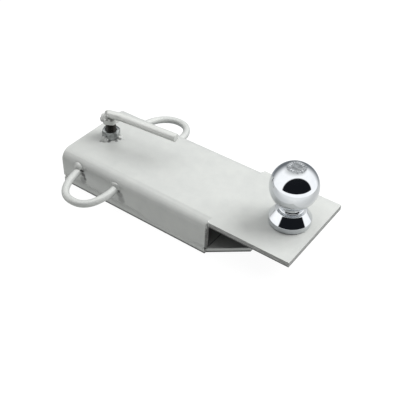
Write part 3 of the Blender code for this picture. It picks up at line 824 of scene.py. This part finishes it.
handleLook = dict(
    turn=math.radians(4.7),
    start=0.016, offset=0.0022,      # straight part from the screw's axis, ahead and aside
    length=0.0745,
    crank=0.0155, set=0.0025,        # welded end behind the straight part, and how far it is set sideways
    edge=0.0006,
)
handleRadius = (barHigh.z - barLow.z) / 2
handleZ = (barHigh.z + barLow.z) / 2
handleAlong = np.array([math.cos(handleLook["turn"]), math.sin(handleLook["turn"]), 0])
handleAside = np.array([-handleAlong[1], handleAlong[0], 0])
handleRoot = (np.array([clampX, 0, handleZ]) + handleAlong * handleLook["start"]
              - handleAside * handleLook["offset"])
handleTail = handleRoot - handleAlong * handleLook["crank"] - handleAside * handleLook["set"]


def handleBar():
    look = handleLook
    knee = handleRoot - handleAlong * look["crank"] * 0.3 - handleAside * look["set"] * 0.5
    end = handleRoot + handleAlong * look["length"]
    path = softPath([handleTail, knee, handleRoot, end], 150, 0.009)
    path[0] += handleAlong * look["edge"]
    path[-1] -= handleAlong * look["edge"]
    around = np.linspace(0, 2 * np.pi, 40, endpoint=False)[None, :]
    along = np.linspace(0, 1, len(path))[:, None]
    dents = 0.00006 * smoothNoise(along * 20, 1.5 * np.cos(around), 5, 8, 0.5, 2.2)
    thin = 0.00035 * smoothStep(0.16, 0.0, along)
    rings, faces = sweptBar(path, handleRadius - 0.00006 + dents - thin, 40, look["edge"])
    return newPiece("handleBar", rings, faces)


finishPiece(handleBar(), handlePaint, handleBody, "silver_paint", "handle_bar")
up = np.array([0, 0, 1.0])
front = np.array([-0.62, -0.52, 0.60])
front /= np.linalg.norm(front)
frontAcross = np.cross(up, front)
frontAcross /= np.linalg.norm(frontAcross)
cornerSpot = np.array([clampX - 0.0056, -0.0047, headTopZ - 0.0022])
endBlob = weldBlob(cornerSpot, frontAcross, np.cross(front, frontAcross), front, (0.0058, 0.0056), 0.0036,
                   91, 0.14)
tailSpot = handleTail + np.array([-0.0020, 0.0004, headTopZ - handleZ])
topBlob = weldBlob(tailSpot, handleAlong, handleAside, up, (0.0044, 0.0050), 0.0046, 92, 0.14)
finishPiece(newPiece("handleWeldEnd", *joined(endBlob, topBlob)), clampWeldPaint, handleBody, "silver_paint",
            "handle_weld_end")
sidePlace = handleTail + handleAlong * 0.003 + handleAside * 0.0058
sidePlace[2] = headTopZ
sideBlob = weldBlob(sidePlace, handleAlong, handleAside, up, (0.0052, 0.0032), 0.0036, 93, 0.2)
finishPiece(newPiece("handleWeldSide", *sideBlob), clampWeldPaint, handleBody, "silver_paint",
            "handle_weld_side")
print("clamp done")


ballLook = dict(
    radius=0.025, flat=0.0098, neck=0.0118,
    shoulder=0.0162, shoulderTop=0.0170, shoulderDrop=0.0005, shoulderEdge=0.0009,
    flangeRadius=0.0222, rim=0.0065,      # heights above the tongue
    ringInner=0.0058, ringOuter=0.0084, ticks=19, tickDepth=0.0006,
    shankThread=dict(pitch=0.0025, major=0.0110, minor=0.0097),
)
ballNutLook = dict(across=0.032, turn=math.radians(12), bore=0.0112, sink=0.0012, edge=0.0003)


def towBall():
    # flat top with a ring of short radial ticks, ball, neck that flares to a shoulder, coned flange and its
    # rim: one profile goes round the axis, its corners softened, and the ticks are pressed into the flat
    look = ballLook
    radius, neck, foot = look["radius"], look["neck"], topZ + 0.0002
    middle = ballHigh.z - math.sqrt(radius ** 2 - look["flat"] ** 2)
    start = math.degrees(math.acos(look["flat"] / radius))
    end = -math.degrees(math.acos(neck / radius))
    arc = arcPoints((0, middle), radius, start, end, 90)
    top = topZ + look["shoulderTop"]
    drop = top - look["shoulderDrop"]
    neckFoot = arcPoints((neck + 0.0012, top + 0.0012), 0.0012, 180, 270, 7)
    shoulder = arcPoints((look["shoulder"] - look["shoulderEdge"], drop - look["shoulderEdge"]),
                         look["shoulderEdge"], 88, 34, 7)
    flat = np.stack([np.linspace(0, look["flat"], 40)[:-1], np.full(39, ballHigh.z)], -1)
    rim = np.array([(look["flangeRadius"], topZ + look["rim"]), (look["flangeRadius"], foot + 0.0006),
                    (look["flangeRadius"] - 0.0006, foot), (0, foot)])
    raw = np.concatenate([flat, arc, neckFoot, shoulder, rim])
    soft = softPath(np.stack([raw[:, 0], 0 * raw[:, 0], raw[:, 1]], -1), 460, 0.0006)
    profile = np.stack([np.abs(soft[:, 0]), soft[:, 2]], -1)
    profile[[0, -1], 0] = 0
    points, faces = lathe(profile, (ballX, 0, 0), 216)
    away = np.hypot(points[..., 0] - ballX, points[..., 1])
    angle = np.arctan2(points[..., 1], points[..., 0] - ballX)
    inRing = smoothStep(look["ringInner"], look["ringInner"] + 0.0004, away) * smoothStep(
        look["ringOuter"], look["ringOuter"] - 0.0004, away)
    comb = smoothStep(0.1, 0.5, np.sin(angle * look["ticks"]))
    onTop = points[..., 2] > ballHigh.z - 0.0001
    points[..., 2] -= look["tickDepth"] * inRing * comb * onTop
    return newPiece("towBall", points, faces, sharpAngle=80)


def squared(wave):
    # a sine or cosine flattened, so that a circle becomes a square with rounded corners
    return np.sign(wave) * np.abs(wave) ** 0.35


def lockWasher():
    # a square section with rounded corners goes round the shank from one side of the split to the other and
    # climbs a little on the way
    inner, outer = 0.0114, (washerHigh.x - washerLow.x) / 2
    half = (washerHigh.z - washerLow.z) / 2 - 0.0002
    middle = (washerHigh.z + washerLow.z) / 2
    corner = np.linspace(0, 2 * np.pi, 32, endpoint=False)
    across = (inner + outer) / 2 + (outer - inner) / 2 * squared(np.cos(corner))[None, :]
    tall = half * squared(np.sin(corner))[None, :]
    turn = np.radians(np.linspace(96, 444, 150))[:, None]
    climb = 0.0002 * np.linspace(-1, 1, 150)[:, None]
    rings = aroundAxis(across, tall + climb, turn, (ballX, 0, middle))
    ends = rings.mean(1, keepdims=True) + 0 * rings
    rings = np.concatenate([ends[:1], rings, ends[-1:]])
    return newPiece("lockWasher", rings, gridFaces(*rings.shape[:2], wrapColumns=True), sharpAngle=60)


finishPiece(towBall(), chrome, body, "chrome_plate", "tow_ball")
finishPiece(threadedRod("ballShank", ballX, ballLow.z, topZ, ballLook["shankThread"], 96), chrome, body,
            "chrome_plate", "tow_ball")
finishPiece(lockWasher(), zinc, body, "zinc_plate", "lock_washer")
finishPiece(hexNut("ballNut", ballNutLow, ballNutHigh, (ballX, 0), ballNutLook), zinc, body, "zinc_plate",
            "ball_nut")
print("ball done")


studioLook = dict(
    target=(0.01739, -0.0174, 0.030),
    azimuth=34.79,
    elevation=40.24,
    roll=1.83,
    distance=0.78484,
    lens=65.86,
    floorSize=6.0,
    tableRadius=0.44,    # the table that lights the object from below, white in front and grey behind
    tableFade=(-0.20, -0.02),
    tableBack=(0.26, 0.28, 0.31, 1),
    tableMiddle=(0.84, 0.85, 0.84, 1),
    tableFront=(1.28, 1.29, 1.27, 1),
    zenith=0.72,         # light that falls on the object from above, and from low down all round
    horizon=0.02,
    tent=1.65,           # what its polished faces mirror: the white sides of the tent
    frontWay=(41, 7),    # azimuth and elevation of the middle of the open front, roof and back
    frontEdge=(0.37, 0.46),
    frontTone=(0.008, 0.009, 0.011, 1),
    roofWay=(215, 62),
    roofTone=(0.46, 0.47, 0.46, 1),
    backWay=(215, -20),
    backEdge=(0.25, 0.90),
    backTone=(0.13, 0.14, 0.15, 1),
)


def aimed(obj, location, target, roll=0.0):
    # local +Z points from the target back to the place, then turned about itself
    back = Vector(location) - Vector(target)
    spin = Quaternion((0, 0, 1), math.radians(roll))
    turned = (back.to_track_quat("Z", "Y") @ spin).to_matrix().to_4x4()
    obj.matrix_world = Matrix.Translation(location) @ turned


def aroundTarget(azimuth, elevation, distance):
    # a place on a sphere round the target; azimuth 0 looks along +Y
    a, e = math.radians(azimuth), math.radians(elevation)
    back = Vector((math.sin(a) * math.cos(e), -math.cos(a) * math.cos(e), math.sin(e)))
    return Vector(studioLook["target"]) + back * distance


def addCamera():
    data = bpy.data.cameras.new("camera")
    data.lens = studioLook["lens"]
    data.sensor_width = 36.0
    data.clip_start = 0.01
    camera = bpy.data.objects.new("camera", data)
    bpy.context.scene.collection.objects.link(camera)
    place = aroundTarget(studioLook["azimuth"], studioLook["elevation"], studioLook["distance"])
    aimed(camera, place, studioLook["target"], studioLook["roll"])
    bpy.context.scene.camera = camera


def addSoftbox(name, azimuth, elevation, distance, size, power):
    data = bpy.data.lights.new(name, "AREA")
    data.shape = "RECTANGLE"
    data.size, data.size_y = size
    data.energy = power
    light = bpy.data.objects.new(name, data)
    light.visible_glossy = False
    bpy.context.scene.collection.objects.link(light)
    aimed(light, aroundTarget(azimuth, elevation, distance), studioLook["target"])


def addFloor():
    # what the camera sees is plain white; what lights the object and shows in its chrome is a round table,
    # white in front and grey behind, as a table lit from the front is
    half = studioLook["floorSize"] / 2
    corners = [(-half, -half, 0), (half, -half, 0), (half, half, 0), (-half, half, 0)]
    floor = newPiece("floor", corners, [(0, 1, 2, 3)])
    material, g, where = newMaterial("pale floor")
    grain = g.noise(where, 30.0, 3.0, 0.5)
    glowing(g, g.mix(grain, (0.08, 0.08, 0.08, 1), (0.10, 0.10, 0.10, 1)), (1.0, 1.0, 1.0, 1), 0.95)
    material.cycles.emission_sampling = "NONE"
    floor.data.materials.append(material)
    floor.visible_diffuse = False
    floor.visible_glossy = False

    turn = np.linspace(0, 2 * np.pi, 97)[:-1]
    rim = studioLook["tableRadius"] * np.stack([np.cos(turn), np.sin(turn), 0 * turn], -1)
    table = newPiece("table", rim - (0, 0, 0.0004), [tuple(range(96))])
    material, g, where = newMaterial("table")
    a = math.radians(studioLook["azimuth"])
    ahead = g.node("ShaderNodeVectorMath", {"operation": "DOT_PRODUCT"},
                   {0: where, 1: (math.sin(a), -math.cos(a), 0)}, "Value")
    look = studioLook
    glow = g.mix(g.clamp(ahead, *look["tableFade"]), look["tableBack"], look["tableMiddle"])
    glow = g.mix(g.clamp(ahead, 0.08, 0.28), glow, look["tableFront"])
    glowing(g, (0.08, 0.08, 0.08, 1), glow, 1.0)
    material.cycles.emission_sampling = "NONE"
    table.data.materials.append(material)
    table.visible_camera = False


def glowing(g, colour, glow, strength):
    g.finish(g.node("ShaderNodeBsdfPrincipled", {}, {
        "Base Color": colour, "Roughness": 0.9, "Specular IOR Level": 0.0,
        "Emission Color": glow, "Emission Strength": strength,
    }))


def addWorld():
    # a light tent: soft light that falls from above, and for polished faces white sides, a grey back and
    # roof and an open dark front; the plain white backdrop is seen where nothing else is
    look = studioLook
    world = bpy.data.worlds.new("studio")
    bpy.context.scene.world = world
    world.use_nodes = True
    g = Graph(world.node_tree)
    heading = g.node("ShaderNodeTexCoord", {}, {}, "Generated")
    height = g.node("ShaderNodeSeparateXYZ", {}, {0: heading}, "Z")
    ray = g.tree.nodes.new("ShaderNodeLightPath")
    seen = Wire(g, ray.outputs["Is Camera Ray"])
    mirrored = Wire(g, ray.outputs["Is Glossy Ray"])

    def towards(azimuth, elevation):
        # 1 in this direction and -1 in the opposite one
        way = (aroundTarget(azimuth, elevation, 1.0) - Vector(look["target"])).normalized()
        return g.node("ShaderNodeVectorMath", {"operation": "DOT_PRODUCT"}, {0: heading, 1: way}, "Value")

    front = g.clamp(towards(*look["frontWay"]), *look["frontEdge"]) * g.clamp(height, -0.01, 0.01)
    roof = g.clamp(towards(*look["roofWay"]), 0.72, 0.97)
    back = g.clamp(towards(*look["backWay"]), *look["backEdge"])
    tent = g.mix(roof * 0.85, (1.0, 1.0, 1.0, 1), look["roofTone"])
    tent = g.mix(back, tent, look["backTone"])
    tent = g.mix(front, tent, look["frontTone"])

    fall = look["horizon"] + (look["zenith"] - look["horizon"]) * g.clamp(height, 0.45, 0.9)
    strength = fall + mirrored * (look["tent"] - fall)
    strength = strength + seen * (1.0 - strength)
    colour = g.mix(mirrored, (1.0, 1.0, 1.0, 1), tent)
    background = g.node("ShaderNodeBackground", {}, {"Color": colour, "Strength": strength})
    g.node("ShaderNodeOutputWorld", {}, {"Surface": background})


addCamera()
addFloor()
addWorld()
addSoftbox("overhead", 262, 80, 1.6, (1.4, 1.4), 15.5)
addSoftbox("right", 138, 47, 1.6, (1.05, 1.05), 34)
bpy.context.scene.view_settings.view_transform = "Standard"
print("studio done")
